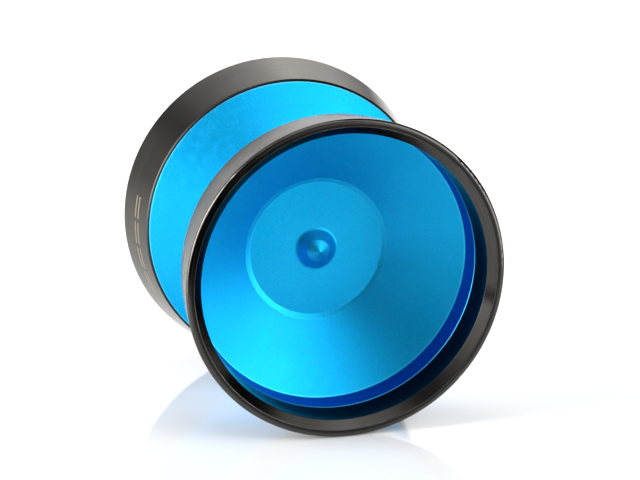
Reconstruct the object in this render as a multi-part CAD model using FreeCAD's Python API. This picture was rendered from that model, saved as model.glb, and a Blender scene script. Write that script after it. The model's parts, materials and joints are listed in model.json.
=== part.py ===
import FreeCAD, Part
import math
import os

# Bimetal ball-bearing yo-yo, in millimetres.
# The spin axis is Y, +Z is up, and the origin is the centre of the bearing, midway
# between the halves. "front" is the -Y half, "rear" is the +Y half.
# Turned pieces are profiles of (radius, distance from the centre plane) turned about Y.
# In the names, _r is a radius and _y a distance from the centre plane.

V = FreeCAD.Vector
ORIGIN = V(0, 0, 0)
SPIN_AXIS = V(0, 1, 0)
HALVES = (("front", -1.0), ("rear", 1.0))

# ---------------------------------------------------------------- dimensions
# overall
rim_r = 28.0              # largest radius, on the outer round of the steel rings
half_width = 24.62        # centre plane to the outermost land of a ring

# cup, outside
cup_edge_r = 26.0         # outer edge of the catch zone
cup_edge_y = 12.95
edge_chamfer = 0.16       # radial width of the chamfer on that edge
edge_chamfer_drop = 0.02  # how far the chamfer starts below the line of the wall
wall_start_r = 10.6       # inner end of the straight catch-zone wall
wall_start_y = 2.45
gap_land_y = 2.20         # flat land next to the response pad
land_out_r = 10.0
sleeve_r = 25.59          # outside of the sleeve that carries the steel ring
sleeve_end_y = 17.67      # open end of the cup
sleeve_chamfer = 0.15

# cup, inside
mouth_r = 24.98           # inner edge of the open end
cone_edge_r = 24.71       # where the hollow cone meets the upright inner wall
cone_edge_y = 13.22
hub_bevel_r = 12.85       # outer edge of the narrow bevel round the hub floor
hub_bevel_y = 5.05
hub_floor_r = 12.0
hub_floor_y = 4.66
nub_base_r = 3.60         # foot of the centre nub's flank
nub_foot_fillet = 0.80
nub_tip_r = 1.93          # rim of the nub's conical cap
nub_tip_y = 6.15
nub_apex_y = 7.16         # where the cap would come to a point
nub_apex_r = 0.05         # tiny blunt end of the cap

# bearing seat and recess in each cup
seat_r = 3.16             # post that carries the bearing's bore
seat_end_y = 0.15         # free end of the post
seat_chamfer = 0.18
shoulder_r = 4.08         # shoulder against the inner race
shoulder_y = 2.40
shoulder_flare = 0.12     # widening of the shoulder down to the recess
relief_r = 6.60           # clearance recess round the bearing
relief_y = 2.70

# response pad and its groove
pad_in_r = 7.00
pad_out_r = 9.50
pad_floor_y = 3.25
pad_face_y = 2.13
pad_gap = 0.02            # radial clearance in the groove
groove_in_r = pad_in_r - pad_gap
groove_out_r = pad_out_r + pad_gap

# steel ring
ring_bore_r = sleeve_r + 0.01
ring_bore_chamfer = 0.20
ring_rear_y = cup_edge_y + 0.03   # face nearest the centre, a hairline off the cup
ring_rear_r = 26.16       # outer edge of that face
ring_band_r = 26.39       # start of the tapered outer band
ring_band_y = 13.35
ring_step_y = sleeve_end_y        # internal step, seated on the cup's open end
ring_throat_r = mouth_r   # inner wall
ring_mouth_r = 25.27      # edge between the inner wall and the sloping face
ring_mouth_y = 23.29
ring_crest_in_r = 26.72   # inner edge of the narrow outermost land
ring_round_r = 1.0        # large round from that land into the outer band

# axle and its thread, M4 x 0.7
thread_pitch = 0.70
thread_sink = 0.05        # overlap of the ridge with its core
axle_r = 1.96             # crest of the thread
axle_root_r = 1.545
axle_half = 4.0
axle_end_r = axle_r - 0.55        # end faces, inside the 45 degree chamfers
axle_ridge_root_w = 0.52
axle_ridge_crest_w = 0.10
axle_half_turns = 7       # turns of thread on each side of the centre plane
hex_flats = 2.0           # socket across flats
hex_depth = 2.2
hex_overrun = 0.01
socket_cone_r = 0.95      # drill cone at the bottom of the socket
socket_cone_depth = 0.50
socket_cone_overlap = 0.05

# tapped hole in each cup
nut_minor_r = 1.665       # crest of the tapped thread
nut_root_r = 2.05
nut_overlap = 0.02        # the tap starts this far inside the drilled wall
nut_groove_inner_w = 0.535
nut_groove_outer_w = 0.165
tap_turns = 6
tap_depth_y = 4.45
drill_tip_y = 5.35
countersink_r = nut_root_r + 0.15
countersink_depth = 0.50
hole_overrun = 0.5

# bearing, 12.7 x 6.35 x 4.7625
bearing_half = 4.7625 / 2
bearing_bore_r = 6.35 / 2
bearing_out_r = 12.7 / 2
inner_land_r = 4.20
outer_land_r = 5.32
ball_pitch_r = (bearing_bore_r + bearing_out_r) / 2
ball_r = 0.79375
ball_count = 10
raceway_gap = 0.024       # gap between a ball and its raceway
centring_depth = 0.36     # centring groove round the outside of the outer race
centring_half = 1.75
centring_round_r = 4.5
cage_in_r = 4.42
cage_out_r = 5.08
cage_y0 = -1.05
cage_y1 = 0.55
pocket_r = 0.835

# shields and the snap rings that hold them in the outer race
shield_bore_r = 4.32
shield_out_r = 5.60
shield_in_y = 1.58
shield_out_y = 1.78
outer_step_r = shield_out_r + 0.03        # counterbore that takes the shield
outer_step_chamfer = 0.10
clip_in_r = 5.30
clip_out_r = 5.86
clip_y0 = shield_out_y + 0.01
clip_y1 = 2.05
clip_groove_r = clip_out_r + 0.02
clip_side_gap = 0.01
split_width = 1.1         # opening in the snap ring, on the +X side
split_in_r = 4.6
split_length = 3.0
split_overrun = 0.2


# ---------------------------------------------------------------- helpers
def rounded_corner(before, corner, after, radius):
    """Start, middle and end of the arc that rounds a corner, limited by its two sides."""
    to_before = before - corner
    to_after = after - corner
    len_before, len_after = to_before.Length, to_after.Length
    to_before = to_before * (1.0 / len_before)
    to_after = to_after * (1.0 / len_after)
    half_angle = math.acos(max(-1.0, min(1.0, to_before.dot(to_after)))) / 2.0
    setback = min(radius / math.tan(half_angle), 0.49 * len_before, 0.49 * len_after)
    radius = setback * math.tan(half_angle)
    bisector = to_before + to_after
    bisector = bisector * (1.0 / bisector.Length)
    centre = corner + bisector * (radius / math.sin(half_angle))
    return (corner + to_before * setback, centre - bisector * radius,
            corner + to_after * setback)


def outline(profile, sign=1.0):
    """Closed XY face from (r, y[, fillet]) corners; sign -1 puts it on the -Y side."""
    count = len(profile)
    points = [V(p[0], sign * p[1], 0) for p in profile]
    corners = []
    for i, corner in enumerate(profile):
        radius = corner[2] if len(corner) > 2 else 0.0
        if radius > 0:
            corners.append(rounded_corner(points[i - 1], points[i],
                                          points[(i + 1) % count], radius))
        else:
            corners.append((points[i], None, points[i]))
    edges = []
    for i, (start, middle, end) in enumerate(corners):
        if middle is not None:
            edges.append(Part.Arc(start, middle, end).toShape())
        next_start = corners[(i + 1) % count][0]
        if (next_start - end).Length > 1e-7:
            edges.append(Part.makeLine(end, next_start))
    return Part.Face(Part.Wire(edges))


def turned(profile, sign=1.0):
    return outline(profile, sign).revolve(ORIGIN, SPIN_AXIS, 360)


def turned_band(in_r, out_r, y0, y1, fillet0, fillet1, sign=1.0):
    """Ring of rectangular section, with its own corner fillet at y0 and at y1."""
    return turned([(in_r, y0, fillet0), (out_r, y0, fillet0),
                   (out_r, y1, fillet1), (in_r, y1, fillet1)], sign)


def mirrored(profile):
    """The profile reflected in the centre plane, in reverse order."""
    return [(p[0], -p[1]) + tuple(p[2:]) for p in reversed(profile)]


def thread_ridge(core_r, crest_r, root_w, crest_w, y0, y1):
    """Right-hand helical ridge about Y, from a little inside core_r out to crest_r."""
    helix = Part.makeHelix(thread_pitch, y1 - y0, core_r)
    taper = (root_w - crest_w) / (crest_r - core_r)
    base_r = core_r - thread_sink
    base_w = root_w + taper * thread_sink
    section = Part.makePolygon([
        V(base_r, 0, -base_w / 2), V(crest_r, 0, -crest_w / 2),
        V(crest_r, 0, crest_w / 2), V(base_r, 0, base_w / 2),
        V(base_r, 0, -base_w / 2)])
    ridge = Part.Wire(helix.Edges).makePipeShell([section], True, True)
    if ridge.ShapeType != "Solid":
        ridge = Part.Solid(ridge)
    if ridge.Volume < 0:
        ridge.reverse()
    # the helix climbs +Z: lay it along +Y, which keeps the right hand
    ridge.rotate(ORIGIN, V(1, 0, 0), -90)
    ridge.translate(V(0, y0, 0))
    return ridge


def one_solid(shape, name):
    """The shape's only solid, with split faces merged and repaired if it is invalid."""
    solids = shape.removeSplitter().Solids
    if len(solids) != 1:
        raise RuntimeError("%s has %d solids" % (name, len(solids)))
    solid = solids[0]
    if not solid.isValid():
        solid.fix(0.001, 0.001, 0.001)
    if not solid.isValid():
        raise RuntimeError("%s is not valid" % name)
    return solid


def save(name, shape):
    one_solid(shape, name).exportStep("parts/%s.step" % name)


# ---------------------------------------------------------------- cups
def cup_blank():
    wall_slope = (cup_edge_y - wall_start_y) / (cup_edge_r - wall_start_r)
    chamfer_y = cup_edge_y - edge_chamfer * wall_slope - edge_chamfer_drop
    cap_slope = (nub_apex_y - nub_tip_y) / nub_tip_r
    blunt_y = nub_apex_y - cap_slope * nub_apex_r
    return turned([
        # bearing post, shoulder and recess
        (0.0, seat_end_y),
        (seat_r - seat_chamfer, seat_end_y),
        (seat_r, seat_end_y + seat_chamfer),
        (seat_r, shoulder_y, 0.05),
        (shoulder_r, shoulder_y, 0.04),
        (shoulder_r + shoulder_flare, relief_y, 0.08),
        (relief_r, relief_y, 0.15),
        # lands and pad groove
        (relief_r, gap_land_y, 0.05),
        (groove_in_r, gap_land_y, 0.05),
        (groove_in_r, pad_floor_y),
        (groove_out_r, pad_floor_y),
        (groove_out_r, gap_land_y, 0.05),
        (land_out_r, gap_land_y, 0.5),
        # catch-zone wall and its chamfered edge
        (wall_start_r, wall_start_y, 0.8),
        (cup_edge_r - edge_chamfer, chamfer_y, 0.05),
        (cup_edge_r, cup_edge_y),
        # sleeve and open end, chamfered on both sides
        (sleeve_r, cup_edge_y),
        (sleeve_r, sleeve_end_y - sleeve_chamfer),
        (sleeve_r - sleeve_chamfer, sleeve_end_y),
        (mouth_r + 0.05, sleeve_end_y, 0.02),
        (mouth_r - 0.06, sleeve_end_y - 0.14, 0.03),
        # hollow cone and hub floor
        (cone_edge_r, cone_edge_y, 0.25),
        (hub_bevel_r, hub_bevel_y, 0.30),
        (hub_floor_r, hub_floor_y, 0.20),
        # nub: filleted foot, sloping flank, conical cap
        (nub_base_r, hub_floor_y, nub_foot_fillet),
        (nub_tip_r, nub_tip_y, 0.10),
        (nub_apex_r, blunt_y),
        (0.0, blunt_y),
    ])


def axle_hole():
    """Drilled, countersunk hole that opens at the post's end."""
    return turned([
        (0.0, seat_end_y - hole_overrun),
        (countersink_r, seat_end_y - hole_overrun),
        (countersink_r, seat_end_y),
        (nut_minor_r, seat_end_y + countersink_depth),
        (nut_minor_r, tap_depth_y),
        (0.0, drill_tip_y),
    ])


def rear_cup():
    tap = thread_ridge(nut_minor_r - nut_overlap, nut_root_r,
                       nut_groove_inner_w, nut_groove_outer_w,
                       0.0, tap_turns * thread_pitch)
    return one_solid(cup_blank().cut(axle_hole()).cut(tap), "cup")


def front_cup(rear):
    """The rear cup given half a turn about X, which keeps its thread's hand and phase."""
    front = rear.copy()
    front.rotate(ORIGIN, V(1, 0, 0), 180)
    return front


# ---------------------------------------------------------------- steel rings and pads
def weight_ring(sign):
    # the tapered band is tangent to the outer round, whose widest point is at rim_r
    centre_dr = rim_r - ring_round_r - ring_band_r
    centre_dy = half_width - ring_round_r - ring_band_y
    band_angle = (math.atan2(centre_dr, centre_dy)
                  + math.asin(ring_round_r / math.hypot(centre_dr, centre_dy)))
    corner_r = ring_band_r + (half_width - ring_band_y) * math.tan(band_angle)
    return turned([
        (ring_bore_r + ring_bore_chamfer, ring_rear_y),
        (ring_rear_r, ring_rear_y, 0.06),
        (ring_band_r, ring_band_y, 0.22),
        (corner_r, half_width, ring_round_r),
        (ring_crest_in_r, half_width, 0.08),
        (ring_mouth_r, ring_mouth_y, 0.20),
        (ring_throat_r, ring_step_y, 0.06),
        (ring_bore_r, ring_step_y),
        (ring_bore_r, ring_rear_y + ring_bore_chamfer),
    ], sign)


def response_pad(sign):
    return turned_band(pad_in_r, pad_out_r, pad_face_y, pad_floor_y, 0.12, 0.05, sign)


# ---------------------------------------------------------------- axle
def chamfered_rod(radius):
    """Rod of the axle's length, its ends chamfered at 45 degrees down to axle_end_r."""
    chamfer_y = axle_half - (radius - axle_end_r)
    return turned([
        (0.0, -axle_half), (axle_end_r, -axle_half), (radius, -chamfer_y),
        (radius, chamfer_y), (axle_end_r, axle_half), (0.0, axle_half)])


def axle():
    """Threaded rod with a hexagon socket in its rear end."""
    thread_half = axle_half_turns * thread_pitch
    ridge = thread_ridge(axle_root_r, axle_r, axle_ridge_root_w, axle_ridge_crest_w,
                         -thread_half, thread_half)
    rod = chamfered_rod(axle_root_r).fuse(ridge.common(chamfered_rod(axle_r + 0.05)))

    corner_r = hex_flats / math.sqrt(3.0)
    corners = []
    for k in range(7):
        angle = math.radians(60 * k)
        corners.append(V(corner_r * math.cos(angle), axle_half + hex_overrun,
                         corner_r * math.sin(angle)))
    hexagon = Part.Face(Part.makePolygon(corners))
    socket = hexagon.extrude(V(0, -hex_depth - hex_overrun, 0))

    floor_y = axle_half - hex_depth
    cone = turned([(0.0, floor_y + socket_cone_overlap),
                   (socket_cone_r, floor_y + socket_cone_overlap),
                   (0.0, floor_y - socket_cone_depth)])
    return rod.cut(socket).cut(cone)


# ---------------------------------------------------------------- bearing
def raceway():
    """Cutter for the ball grooves, which clears each ball by raceway_gap."""
    return Part.makeTorus(ball_pitch_r, ball_r + raceway_gap, ORIGIN, SPIN_AXIS)


def inner_race():
    race = turned([
        (bearing_bore_r, -bearing_half, 0.20), (inner_land_r, -bearing_half, 0.12),
        (inner_land_r, bearing_half, 0.12), (bearing_bore_r, bearing_half, 0.20)])
    return race.cut(raceway())


def outer_race():
    groove_y0 = clip_y0 - clip_side_gap
    groove_y1 = clip_y1 + clip_side_gap
    # the +Y side, from the inner land round to the edge of the centring groove
    rear_side = [
        (outer_land_r, shield_in_y),
        (outer_step_r, shield_in_y),
        (outer_step_r, groove_y0),
        (clip_groove_r, groove_y0),
        (clip_groove_r, groove_y1),
        (outer_step_r, groove_y1),
        (outer_step_r, bearing_half - outer_step_chamfer),
        (outer_step_r + outer_step_chamfer, bearing_half),
        (bearing_out_r, bearing_half, 0.12),
        (bearing_out_r, centring_half, 0.10),
    ]
    groove_bottom = [(bearing_out_r - centring_depth, 0.0, centring_round_r)]
    return turned(rear_side + groove_bottom + mirrored(rear_side)).cut(raceway())


def ball_centres():
    angles = [2 * math.pi * k / ball_count for k in range(ball_count)]
    return [V(ball_pitch_r * math.cos(a), 0, ball_pitch_r * math.sin(a)) for a in angles]


def bearing_cage():
    """Ball retainer: a crown with open pockets."""
    cage = turned_band(cage_in_r, cage_out_r, cage_y0, cage_y1, 0.06, 0.06)
    for centre in ball_centres():
        cage = cage.cut(Part.makeSphere(pocket_r, centre))
    return cage


def bearing_shield(sign):
    return turned_band(shield_bore_r, shield_out_r, shield_in_y, shield_out_y,
                       0.03, 0.03, sign)


def shield_clip(sign):
    """Split snap ring outside the shield."""
    clip = turned_band(clip_in_r, clip_out_r, clip_y0, clip_y1, 0.03, 0.03, sign)
    split_y = min(sign * clip_y0, sign * clip_y1) - split_overrun
    split = Part.makeBox(split_length, clip_y1 - clip_y0 + 2 * split_overrun, split_width,
                         V(split_in_r, split_y, -split_width / 2))
    return clip.cut(split)


# ---------------------------------------------------------------- build
os.makedirs("parts", exist_ok=True)

cup = rear_cup()
save("rear_cup", cup)
save("front_cup", front_cup(cup))
save("axle", axle())
save("bearing_inner_race", inner_race())
save("bearing_outer_race", outer_race())
save("bearing_cage", bearing_cage())
for number, centre in enumerate(ball_centres(), 1):
    save("bearing_ball_%02d" % number, Part.makeSphere(ball_r, centre))
for half, sign in HALVES:
    save(half + "_weight_ring", weight_ring(sign))
    save(half + "_response_pad", response_pad(sign))
    save(half + "_bearing_shield", bearing_shield(sign))
    save(half + "_shield_clip", shield_clip(sign))
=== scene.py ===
import json
import math
from collections import namedtuple

import bmesh
import bpy
from mathutils import Matrix, Vector


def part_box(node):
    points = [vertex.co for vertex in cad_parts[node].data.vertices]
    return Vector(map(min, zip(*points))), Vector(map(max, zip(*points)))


# A yo-yo with a blue cup and a black weight ring on each side. Its spin axis is Y, through
# the origin, and its halves mirror each other about y = 0. It stands on the rims of its rings
# on a white floor, inside a soft studio dome. The camera looks from the -Y side.
# Scene units are metres; names and tables marked mm are scaled by MM.

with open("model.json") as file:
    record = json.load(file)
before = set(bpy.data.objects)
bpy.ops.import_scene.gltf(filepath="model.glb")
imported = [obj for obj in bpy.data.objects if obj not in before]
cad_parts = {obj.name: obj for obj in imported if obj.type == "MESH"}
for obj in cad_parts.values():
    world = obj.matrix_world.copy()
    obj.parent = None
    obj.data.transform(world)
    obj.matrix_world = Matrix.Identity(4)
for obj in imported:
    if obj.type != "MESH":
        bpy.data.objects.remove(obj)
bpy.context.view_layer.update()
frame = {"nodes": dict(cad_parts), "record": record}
MM = 0.001


# ---------------------------------------------------------------- shader graph builder
class Graph:
    """A small builder for shader node trees."""

    def __init__(self, tree, output_kind):
        tree.nodes.clear()
        self.tree = tree
        self.across = 0
        self.output = self.node(output_kind)

    def node(self, kind, **props):
        node = self.tree.nodes.new(kind)
        self.across += 40
        node.location = (self.across, 0)
        for key, value in props.items():
            setattr(node, key, value)
        return node

    def link(self, source, target):
        self.tree.links.new(source, target)

    def put(self, socket, value):
        """Link an output to the socket, or set the socket's own value."""
        if hasattr(value, "is_output"):
            self.link(value, socket)
        elif isinstance(value, tuple) and len(value) == 3 and socket.type == "RGBA":
            socket.default_value = (*value, 1.0)
        else:
            socket.default_value = value

    def math(self, operation, *values):
        node = self.node("ShaderNodeMath", operation=operation)
        for socket, value in zip(node.inputs, values):
            self.put(socket, value)
        return node.outputs[0]

    def add(self, a, b):
        return self.math("ADD", a, b)

    def sub(self, a, b):
        return self.math("SUBTRACT", a, b)

    def mul(self, product, *factors):
        for factor in factors:
            product = self.math("MULTIPLY", product, factor)
        return product

    def absolute(self, value):
        return self.math("ABSOLUTE", value)

    def larger(self, a, b):
        return self.math("MAXIMUM", a, b)

    def length(self, a, b):
        return self.math("SQRT", self.add(self.mul(a, a), self.mul(b, b)))

    def invert(self, value):
        return self.sub(1.0, value)

    def remap(self, value, source, to, kind="LINEAR"):
        node = self.node("ShaderNodeMapRange", interpolation_type=kind, clamp=True)
        self.put(node.inputs["Value"], value)
        for side, start, end in zip(("Min", "Max"), source, to):
            node.inputs["From " + side].default_value = start
            node.inputs["To " + side].default_value = end
        return node.outputs["Result"]

    def rise(self, value, low, high, unit=1.0):
        """Smooth step from 0 at low to 1 at high."""
        return self.remap(value, (low * unit, high * unit), (0.0, 1.0), "SMOOTHSTEP")

    def fall(self, value, low, high, unit=1.0):
        """Smooth step from 1 at low to 0 at high."""
        return self.invert(self.rise(value, low, high, unit))

    def mix(self, factor, a, b, blend="MIX"):
        node = self.node("ShaderNodeMix", data_type="RGBA", blend_type=blend, clamp_factor=True)
        self.put(node.inputs["Factor"], factor)
        self.put(node.inputs[6], a)
        self.put(node.inputs[7], b)
        return node.outputs[2]

    def tint(self, base, color, mask, amount):
        return self.mix(self.mul(mask, amount), base, color)

    def mix_value(self, factor, a, b):
        node = self.node("ShaderNodeMix", data_type="FLOAT", clamp_factor=True)
        self.put(node.inputs["Factor"], factor)
        self.put(node.inputs[2], a)
        self.put(node.inputs[3], b)
        return node.outputs[0]

    def separate(self, vector):
        node = self.node("ShaderNodeSeparateXYZ")
        self.link(vector, node.inputs[0])
        return node.outputs

    def combine(self, x, y, z):
        node = self.node("ShaderNodeCombineXYZ")
        for socket, value in zip(node.inputs, (x, y, z)):
            self.put(socket, value)
        return node.outputs[0]

    def noise(self, vector, scale, detail=3.0, rough=0.6):
        node = self.node("ShaderNodeTexNoise")
        self.link(vector, node.inputs["Vector"])
        node.inputs["Scale"].default_value = scale
        node.inputs["Detail"].default_value = detail
        node.inputs["Roughness"].default_value = rough
        return node.outputs["Fac"]

    def voronoi(self, vector, scale):
        node = self.node("ShaderNodeTexVoronoi")
        self.link(vector, node.inputs["Vector"])
        node.inputs["Scale"].default_value = scale
        return node.outputs["Distance"]

    def bump(self, height, strength, distance, normal=None):
        node = self.node("ShaderNodeBump")
        node.inputs["Strength"].default_value = strength
        node.inputs["Distance"].default_value = distance
        self.link(height, node.inputs["Height"])
        if normal is not None:
            self.link(normal, node.inputs["Normal"])
        return node.outputs[0]


def new_material(name):
    """A material with a Principled shader: the material, its graph, the shader's setter."""
    material = bpy.data.materials.new(name)
    material.use_nodes = True
    g = Graph(material.node_tree, "ShaderNodeOutputMaterial")
    shader = g.node("ShaderNodeBsdfPrincipled")
    g.link(shader.outputs[0], g.output.inputs["Surface"])

    def set_input(socket_name, value):
        g.put(shader.inputs[socket_name], value)

    return material, g, set_input


Place = namedtuple("Place", "point x y z radius")


def turned_place(g):
    """Object coordinates, with the radius from the Y axis."""
    point = g.node("ShaderNodeTexCoord").outputs["Object"]
    x, y, z = g.separate(point)
    return Place(point, x, y, z, g.length(x, z))


def lathe_space(g, at, profile, squeeze):
    """Noise space where only the profile position varies fast, which draws turning lines."""
    return g.combine(g.mul(at.x, squeeze), profile, g.mul(at.z, squeeze))


def near_circle(g, at, side_y, circle):
    """1 on the circle (radius, |y|, reach, in mm), falling to 0 at its reach."""
    radius, height, reach = circle
    distance = g.length(g.sub(at.radius, radius * MM), g.sub(side_y, height * MM))
    return g.fall(distance, low=0.35 * reach, high=reach, unit=MM)


def brush_around_axis(g, set_input, amount):
    set_input("Anisotropic", amount)
    tangent = g.node("ShaderNodeTangent", direction_type="RADIAL", axis="Y")
    set_input("Tangent", tangent.outputs[0])


PROFILE_SLOPE = 1.31   # weight of radius against y in the turning lines of the steel

# ---------------------------------------------------------------- blue anodised cup
# Colours are linear RGB.
BLUE_DEEP = (0.003, 0.455, 0.87)
BLUE_FULL = (0.007, 0.490, 0.90)
BLUE_LIGHT = (0.04, 0.58, 0.97)
# edge colour: partly worn dye, partly painted highlight on the turned edges
BLUE_EDGE_WEAR_AND_HIGHLIGHT = (0.16, 0.74, 1.0)
# painted shade colour for the upright wall inside the cup
BLUE_WALL_SHADE = (0.30, 0.32, 0.70)
# lip and wall-foot colours: partly worn dye, partly painted highlight along those edges
BLUE_LIP_WEAR_AND_HIGHLIGHT = (0.08, 0.60, 0.96)
BLUE_FOOT_WEAR_AND_HIGHLIGHT = (0.05, 0.72, 0.98)
BLUE_GRAZING = (0.55, 0.90, 1.0)
BLUE_ROUGH = 0.48
BLUE_GRAIN = 0.075     # brightness swing of the speckle, either way

# Turned edges: radius, |y|, reach, in mm
RIM_EDGE = (25.93, 12.86, 0.16)
CUP_LIP = (24.98, 17.64, 0.18)
WALL_FOOT = (24.62, 13.14, 0.25)
NUB_EDGE = (1.93, 6.13, 0.14)
STEP_LOW = (12.0, 4.66, 0.10)
STEP_HIGH = (12.85, 5.05, 0.10)


def anodised_blue():
    material, g, set_input = new_material("blue_anodised_aluminium")
    at = turned_place(g)
    side_y = g.absolute(at.y)
    fine = g.noise(at.point, scale=5200.0)
    grit = g.voronoi(at.point, scale=9000.0)
    broad = g.noise(at.point, scale=55.0, detail=2.0, rough=0.5)
    mottle = g.noise(at.point, scale=900.0, rough=0.65)
    speckle = g.noise(at.point, scale=3600.0, detail=1.0, rough=0.5)

    base = g.mix(g.rise(broad, low=0.35, high=0.65), BLUE_DEEP, BLUE_FULL)
    base = g.tint(base, BLUE_LIGHT, g.rise(mottle, low=0.45, high=0.75), amount=0.16)
    base = g.tint(base, BLUE_LIGHT, g.rise(fine, low=0.52, high=0.80), amount=0.20)
    tone = g.remap(speckle, source=(0.30, 0.70), to=(1.0 - BLUE_GRAIN, 1.0 + BLUE_GRAIN))
    base = g.mix(1.0, base, g.combine(tone, tone, tone), "MULTIPLY")

    # painted shade: the upright wall inside the cup is darkened, standing in for the shade
    # inside the cup
    above_foot = g.rise(side_y, low=13.10, high=13.40, unit=MM)
    wall_shade = g.mul(above_foot, g.fall(at.radius, low=25.15, high=25.35, unit=MM))
    base = g.mix(wall_shade, base, g.mix(1.0, base, BLUE_WALL_SHADE, "MULTIPLY"))

    # turned edges lightened: partly thinner dye where the edges wear, partly painted highlight
    # standing in for their glints
    rim, lip, foot, nub_edge, step_low, step_high = [
        near_circle(g, at, side_y, circle)
        for circle in (RIM_EDGE, CUP_LIP, WALL_FOOT, NUB_EDGE, STEP_LOW, STEP_HIGH)]
    bright_edges = g.larger(rim, lip)
    soft_edges = g.larger(nub_edge, g.larger(step_low, step_high))
    base = g.tint(base, BLUE_EDGE_WEAR_AND_HIGHLIGHT, rim, amount=0.45)
    base = g.tint(base, BLUE_LIP_WEAR_AND_HIGHLIGHT, lip, amount=0.95)
    base = g.tint(base, BLUE_FOOT_WEAR_AND_HIGHLIGHT, foot, amount=0.80)
    base = g.tint(base, BLUE_EDGE_WEAR_AND_HIGHLIGHT, soft_edges, amount=0.10)
    set_input("Base Color", base)
    set_input("Metallic", 1.0)
    set_input("Specular Tint", BLUE_GRAZING)

    rough = g.remap(mottle, source=(0.3, 0.7), to=(BLUE_ROUGH - 0.03, BLUE_ROUGH + 0.05))
    rough = g.mix_value(bright_edges, a=rough, b=0.36)
    rough = g.mix_value(g.mul(soft_edges, 0.25), a=rough, b=0.30)
    # the centre nub is left brighter by the lathe, with its turning lines
    nub = g.fall(at.radius, low=3.3, high=4.1, unit=MM)
    rough = g.mix_value(nub, a=rough, b=0.46)
    set_input("Roughness", rough)

    # blasted surface: shallow pits and a finer tooth, worn smooth on the bright edges
    pits = g.add(g.mul(fine, 0.7), g.mul(grit, 0.6))
    pits = g.mul(pits, g.invert(g.mul(bright_edges, 0.9)))
    normal = g.bump(pits, strength=0.55, distance=0.000012)
    tooth = g.noise(at.point, scale=1500.0, detail=2.0, rough=0.5)
    normal = g.bump(tooth, strength=0.35, distance=0.00002, normal=normal)
    lathe = lathe_space(g, at, g.add(at.radius, side_y), squeeze=0.02)
    turning = g.noise(lathe, scale=3800.0, detail=2.0)
    normal = g.bump(g.mul(turning, nub), strength=0.5, distance=0.00003, normal=normal)
    set_input("Normal", normal)
    set_input("Coat Weight", 0.05)
    set_input("Coat Roughness", 0.45)
    set_input("Coat IOR", 1.6)
    return material


# ---------------------------------------------------------------- black plated rings
BLACK_DEEP = (0.062, 0.060, 0.055)
BLACK_SOFT = (0.076, 0.073, 0.067)
BLACK_LINE = (0.092, 0.088, 0.080)
BLACK_WORN = (0.30, 0.29, 0.27)
# painted shade colour of the ring's inner wall
BLACK_INNER_SHADE = (0.006, 0.009, 0.014)
# painted dark reflection colour for the line on the crest
BLACK_CREST_DARK_REFLECTION = (0.012, 0.012, 0.012)
# painted shade colour for the gap beside the cup
BLACK_REAR_SHADE = (0.010, 0.010, 0.011)
BLACK_GRAZING = (1.0, 0.98, 0.95)
# painted reflection: blue edge tint for the inner wall, standing in for the blue cup it faces
INNER_GRAZING_BLUE_REFLECTION = (0.16, 0.24, 0.32)
MARK_COLOR = (0.52, 0.43, 0.30)
BLACK_ROUGH = 0.13

# Places on the crest, the ring's edge furthest from y = 0: radius, |y|, reach, in mm
CREST_CORNER = (27.75, 24.28, 0.30)
CREST_LAND = (26.73, 24.61, 0.12)
CREST_LINE = (27.04, 24.60, 0.32)

# Row of dashes round the outer band, each of two thin parallel strokes
MARK_CENTRE = 188.0    # degrees, from +X towards +Z
MARK_COUNT = 4
MARK_PITCH = 10.2      # degrees
MARK_HALF_LENGTH = 4.3  # degrees
MARK_FEATHER = 0.25    # degrees
MARK_Y = 18.1          # mm, |y| midway between the strokes
STROKE_OFFSET = 0.62   # mm, each stroke from MARK_Y
STROKE_WIDTH = 0.42    # mm


def bar_marks(g, at, side_y):
    degrees = g.mul(g.math("ARCTAN2", at.z, at.x), 180.0 / math.pi)
    from_centre = g.math("WRAP", g.sub(degrees, MARK_CENTRE), 180.0, -180.0)
    half_row = MARK_COUNT * MARK_PITCH / 2.0
    in_row = g.math("LESS_THAN", g.absolute(from_centre), half_row)
    along = g.math("WRAP", g.add(from_centre, half_row), MARK_PITCH, 0.0)
    along = g.absolute(g.sub(along, MARK_PITCH / 2.0))
    across = g.absolute(g.sub(side_y, MARK_Y * MM))
    across = g.absolute(g.sub(across, STROKE_OFFSET * MM))
    stroke = g.fall(across, low=0.35 * STROKE_WIDTH, high=0.75 * STROKE_WIDTH, unit=MM)
    dash = g.fall(along, low=MARK_HALF_LENGTH - MARK_FEATHER,
                  high=MARK_HALF_LENGTH + MARK_FEATHER)
    outside = g.rise(at.radius, low=26.0, high=26.3, unit=MM)
    return g.mul(stroke, dash, in_row, outside)


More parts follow.
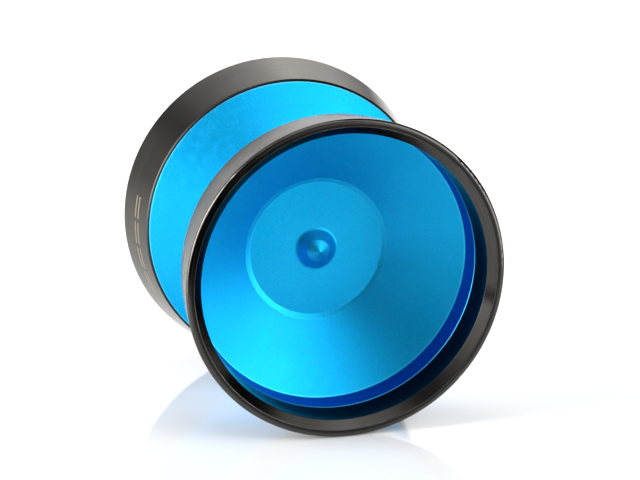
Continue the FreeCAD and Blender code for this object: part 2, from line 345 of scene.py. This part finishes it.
def black_steel(name):
    material, g, set_input = new_material(name)
    at = turned_place(g)
    side_y = g.absolute(at.y)
    profile = g.mul(g.add(side_y, g.mul(at.radius, PROFILE_SLOPE)), 1.0)
    lathe = lathe_space(g, at, profile, squeeze=0.012)
    fine = g.noise(lathe, scale=8200.0, rough=0.7)
    coarse = g.noise(lathe, scale=2100.0)
    cloud = g.noise(at.point, scale=85.0, rough=0.55)
    smear = g.noise(at.point, scale=260.0, detail=4.0)

    base = g.mix(g.rise(cloud, low=0.35, high=0.7), BLACK_DEEP, BLACK_SOFT)
    base = g.tint(base, BLACK_LINE, g.rise(coarse, low=0.5, high=0.72), amount=0.60)
    # plating a little thin on the crest
    wear = g.larger(near_circle(g, at, side_y, CREST_CORNER),
                    near_circle(g, at, side_y, CREST_LAND))
    wear = g.mul(wear, g.rise(smear, low=0.48, high=0.66))
    base = g.tint(base, BLACK_WORN, wear, amount=0.35)
    # painted shade on the inner wall: a darker, faintly blue base for the shade in the throat
    inner_wall_shade = g.fall(at.radius, low=25.14, high=25.30, unit=MM)
    base = g.tint(base, BLACK_INNER_SHADE, inner_wall_shade, amount=0.55)
    # painted dark reflection: a thin dark line where the crest's land meets the outer round,
    # standing in for the dark floor in front that the land reflects
    base = g.tint(base, BLACK_CREST_DARK_REFLECTION, near_circle(g, at, side_y, CREST_LINE), amount=0.72)
    # the thin edge nearest y = 0 stays dull beside the cup, and its colour is darkened as
    # painted shade for the shadowed gap there
    rear = g.fall(side_y, low=13.12, high=13.40, unit=MM)
    base = g.tint(base, BLACK_REAR_SHADE, rear, amount=0.85)
    marks = g.mul(bar_marks(g, at, side_y), g.remap(smear, source=(0.3, 0.7), to=(0.75, 1.0)))
    base = g.tint(base, MARK_COLOR, marks, amount=0.85)
    set_input("Base Color", base)
    set_input("Metallic", 1.0)
    # painted reflection: the inner wall's edge tint is blue, standing in for the blue cup it
    # reflects
    set_input("Specular Tint", g.tint(BLACK_GRAZING, INNER_GRAZING_BLUE_REFLECTION, inner_wall_shade, amount=0.6))

    rough = g.remap(smear, source=(0.25, 0.75), to=(BLACK_ROUGH - 0.03, BLACK_ROUGH + 0.05))
    rough = g.add(rough, g.mul(g.rise(coarse, low=0.45, high=0.8), 0.05))
    rough = g.mix_value(marks, a=rough, b=0.42)
    rough = g.mix_value(rear, a=rough, b=0.45)
    set_input("Roughness", rough)
    brush_around_axis(g, set_input, amount=0.45)
    height = g.add(g.mul(fine, 0.5), g.mul(coarse, 0.9))
    set_input("Normal", g.bump(height, strength=0.32, distance=0.000005))
    return material


# ---------------------------------------------------------------- grey silicone pads
SILICONE_DARK = (0.62, 0.64, 0.65)
SILICONE_LIGHT = (0.74, 0.75, 0.75)
STRING_DUST = (0.33, 0.34, 0.36)


def silicone():
    material, g, set_input = new_material("grey_silicone")
    at = turned_place(g)
    cloud = g.noise(at.point, scale=300.0)
    grain = g.noise(at.point, scale=4200.0)
    base = g.mix(cloud, SILICONE_DARK, SILICONE_LIGHT)
    # string dust near the inner edge of the pad
    near_hole = g.fall(at.radius, low=7.0, high=8.2, unit=MM)
    dust = g.mul(near_hole, g.rise(grain, low=0.4, high=0.7))
    set_input("Base Color", g.tint(base, STRING_DUST, dust, amount=0.45))
    set_input("Roughness", g.remap(grain, source=(0.3, 0.7), to=(0.52, 0.75)))
    set_input("Subsurface Weight", 0.25)
    set_input("Subsurface Radius", (0.0006, 0.0006, 0.0006))
    set_input("Subsurface Scale", 1.0)
    set_input("Specular IOR Level", 0.4)
    set_input("Normal", g.bump(grain, strength=0.4, distance=0.00003))
    return material


# ---------------------------------------------------------------- bright and oxide steels
# Slot: name, dark colour, light colour, roughness, line scale, line depth (mm), anisotropy
STEELS = {
    "axle_steel": ("black_oxide_steel", (0.045, 0.045, 0.05), (0.075, 0.072, 0.07),
                   0.32, 5000.0, 0.004, 0.4),
    "race_steel": ("ground_bearing_steel", (0.58, 0.58, 0.57), (0.68, 0.68, 0.67),
                   0.16, 7000.0, 0.002, 0.4),
    "ball_steel": ("polished_ball_steel", (0.66, 0.66, 0.66), (0.74, 0.74, 0.74),
                   0.07, 9000.0, 0.0005, 0.0),
    "cage_steel": ("pressed_cage_steel", (0.46, 0.44, 0.40), (0.58, 0.56, 0.52),
                   0.30, 4000.0, 0.004, 0.4),
    "shield_steel": ("thin_shield_steel", (0.50, 0.50, 0.50), (0.60, 0.60, 0.60),
                     0.24, 5000.0, 0.003, 0.4),
    "clip_steel": ("spring_steel", (0.36, 0.37, 0.38), (0.47, 0.47, 0.48),
                   0.26, 6000.0, 0.003, 0.4),
}


def steel(name, dark, light, roughness, line_scale, line_depth, anisotropy):
    """Steel with fine lines round the Y axis."""
    material, g, set_input = new_material(name)
    at = turned_place(g)
    profile = g.add(at.y, g.mul(at.radius, PROFILE_SLOPE))
    lines = g.noise(lathe_space(g, at, profile, squeeze=0.02), scale=line_scale, rough=0.65)
    cloud = g.noise(at.point, scale=700.0)
    set_input("Base Color", g.mix(g.rise(cloud, low=0.3, high=0.7), dark, light))
    set_input("Metallic", 1.0)
    mean = g.mul(g.add(lines, cloud), 0.5)
    set_input("Roughness", g.remap(mean, source=(0.35, 0.65),
                                   to=(roughness - 0.04, roughness + 0.06)))
    brush_around_axis(g, set_input, anisotropy)
    set_input("Normal", g.bump(lines, strength=0.35, distance=line_depth * MM))
    return material


# ---------------------------------------------------------------- materials onto pieces
slot_materials = {"cup_blue_anodised": anodised_blue(), "pad_rubber": silicone()}
for slot, recipe in STEELS.items():
    slot_materials[slot] = steel(*recipe)
ring_materials = {
    "front_weight_ring": black_steel("black_plated_steel_front"),
    "rear_weight_ring": black_steel("black_plated_steel_rear"),
}

slots = {part["node"]: part["material_slot"] for part in frame["record"]["subparts"]}
for name, piece in frame["nodes"].items():
    piece.data.materials.clear()
    piece.data.materials.append(ring_materials.get(name) or slot_materials[slots[name]])
    for polygon in piece.data.polygons:
        polygon.material_index = 0

# ---------------------------------------------------------------- floor
FLOOR_HALF = 4.0       # m
FLOOR_DARK = (0.90, 0.90, 0.885)
FLOOR_LIGHT = (0.93, 0.93, 0.92)
FLOOR_GLOW = 0.040
BEYOND_GLOW = 0.010    # of the dark part that only reflections and bounced light meet


def floor_material():
    material, g, set_input = new_material("white_gloss_floor")
    point = g.node("ShaderNodeTexCoord").outputs["Object"]
    cloud = g.noise(point, scale=6.0, detail=2.0, rough=0.5)
    set_input("Base Color", g.mix(cloud, FLOOR_DARK, FLOOR_LIGHT))
    set_input("Roughness", g.remap(cloud, source=(0.3, 0.7), to=(0.055, 0.075)))
    set_input("Specular IOR Level", 0.46)
    set_input("Emission Color", (1.0, 1.0, 1.0))
    set_input("Emission Strength", FLOOR_GLOW)
    # the floor goes dark towards -Y and -X, except where the camera sees it directly
    x, y, _ = g.separate(point)
    dark = g.mul(g.fall(y, low=-0.135, high=-0.085), g.fall(x, low=0.035, high=0.060))
    is_camera = g.node("ShaderNodeLightPath").outputs["Is Camera Ray"]
    beyond = g.node("ShaderNodeEmission")
    beyond.inputs["Strength"].default_value = BEYOND_GLOW
    blend = g.node("ShaderNodeMixShader")
    g.link(g.mul(dark, g.invert(is_camera)), blend.inputs["Fac"])
    g.link(g.output.inputs["Surface"].links[0].from_socket, blend.inputs[1])
    g.link(beyond.outputs[0], blend.inputs[2])
    g.link(blend.outputs[0], g.output.inputs["Surface"])
    return material


def make_floor():
    mesh = bpy.data.meshes.new("floor")
    grid = bmesh.new()
    bmesh.ops.create_grid(grid, x_segments=2, y_segments=2, size=FLOOR_HALF)
    grid.to_mesh(mesh)
    grid.free()
    floor = bpy.data.objects.new("floor", mesh)
    bpy.context.scene.collection.objects.link(floor)
    floor.location = (0, 0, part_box("front_weight_ring")[0].z)
    mesh.materials.append(floor_material())


make_floor()

# ---------------------------------------------------------------- studio light
# Dome brightness: elevation in degrees, then values at even compass angles, from +X
# anticlockwise seen from above (the camera stands near 254 degrees).
RINGS = [
    (0.0, [0.53, 0.00, 0.00, 0.00, 0.60, 1.04, 0.00, 0.45, 4.45, 11.71,
           14.46, 4.74, 0.00, 0.00, 0.00, 0.00, 1.63, 7.36, 6.76, 2.58]),
    (14.0, [0.00, 0.00, 0.00, 0.10, 2.50, 0.00, 0.00, 0.59, 1.27, 11.02,
            15.42, 0.00, 1.90, 0.00, 0.00, 0.00, 0.00, 3.02, 4.94, 0.00]),
    (30.0, [0.00, 0.00, 0.00, 0.37, 2.38, 1.99, 0.84, 0.00, 0.00, 5.66,
            14.18, 0.00, 0.56, 0.19, 0.00, 0.00, 0.00, 3.45, 4.66, 0.00]),
    (50.0, [0.00, 0.00, 0.00, 0.00, 0.00, 0.00, 2.17, 0.00, 0.18, 2.46, 3.26, 0.71]),
    (72.0, [0.00, 0.00, 0.06, 1.86, 0.00, 0.00]),
]
TOP_ELEVATION, TOP_VALUE = 88.0, 4.56


def ring_color(g, turn, values, peak):
    """Brightness round one ring, as a share of the peak; the last stop repeats the first."""
    node = g.node("ShaderNodeValToRGB")
    ramp = node.color_ramp
    ramp.interpolation = "LINEAR"
    count = len(values)
    while len(ramp.elements) < count + 1:
        ramp.elements.new(0.5)
    for i in range(count + 1):
        ramp.elements[i].position = i / count
    for i in range(count + 1):
        share = values[i % count] / peak
        ramp.elements[i].color = (share, share, share, 1.0)
    g.link(turn, node.inputs["Fac"])
    return node.outputs["Color"]


def background(g, color, strength):
    node = g.node("ShaderNodeBackground")
    g.put(node.inputs["Color"], color)
    node.inputs["Strength"].default_value = strength
    return node.outputs[0]


def make_world():
    world = bpy.data.worlds.new("studio")
    bpy.context.scene.world = world
    world.use_nodes = True
    g = Graph(world.node_tree, "ShaderNodeOutputWorld")
    x, y, z = g.separate(g.node("ShaderNodeTexCoord").outputs["Generated"])
    turn = g.mul(g.math("ARCTAN2", y, x), 1.0 / (2 * math.pi))
    turn = g.math("WRAP", turn, 1.0, 0.0)
    elevation = g.mul(g.math("ARCSINE", z), 180.0 / math.pi)
    peak = max(TOP_VALUE, *(max(values) for _, values in RINGS))

    color = ring_color(g, turn, RINGS[0][1], peak)
    for (low, _), (high, values) in zip(RINGS, RINGS[1:]):
        climb = g.remap(elevation, source=(low, high), to=(0.0, 1.0))
        color = g.mix(climb, color, ring_color(g, turn, values, peak))
    climb = g.remap(elevation, source=(RINGS[-1][0], TOP_ELEVATION), to=(0.0, 1.0))
    color = g.mix(climb, color, (TOP_VALUE / peak,) * 3)

    # the camera sees plain white in place of the dome
    blend = g.node("ShaderNodeMixShader")
    g.link(g.node("ShaderNodeLightPath").outputs["Is Camera Ray"], blend.inputs["Fac"])
    g.link(background(g, color, strength=peak), blend.inputs[1])
    g.link(background(g, (1.0, 1.0, 1.0), strength=1.0), blend.inputs[2])
    g.link(blend.outputs[0], g.output.inputs["Surface"])
    world.cycles.sampling_method = "MANUAL"
    world.cycles.sample_map_resolution = 512


make_world()

# ---------------------------------------------------------------- camera
CAMERA_TURN = math.radians(-15.9345)      # about Z, from looking along +Y
CAMERA_ELEVATION = math.radians(16.3527)
CAMERA_OFFSET = (1.9706, 0.2217, 518.951)  # mm, along its right, up and back


def make_camera():
    level = math.cos(CAMERA_ELEVATION)
    back = Vector((math.sin(CAMERA_TURN) * level, -math.cos(CAMERA_TURN) * level,
                   math.sin(CAMERA_ELEVATION)))
    right = Vector((math.cos(CAMERA_TURN), math.sin(CAMERA_TURN), 0.0))
    up = back.cross(right)
    lens = bpy.data.cameras.new("camera")
    lens.sensor_width = 36.0
    lens.lens = 165.10
    lens.clip_start, lens.clip_end = 0.01, 20.0
    camera = bpy.data.objects.new("camera", lens)
    bpy.context.scene.collection.objects.link(camera)
    aside, above, away = CAMERA_OFFSET
    camera.location = (aside * right + above * up + away * back) * MM
    camera.rotation_mode = "QUATERNION"
    camera.rotation_quaternion = Matrix((right, up, back)).transposed().to_quaternion()
    bpy.context.scene.camera = camera


make_camera()

view = bpy.context.scene.view_settings
view.view_transform = "Standard"
view.look = "None"
view.exposure = 0.0
view.gamma = 1.0
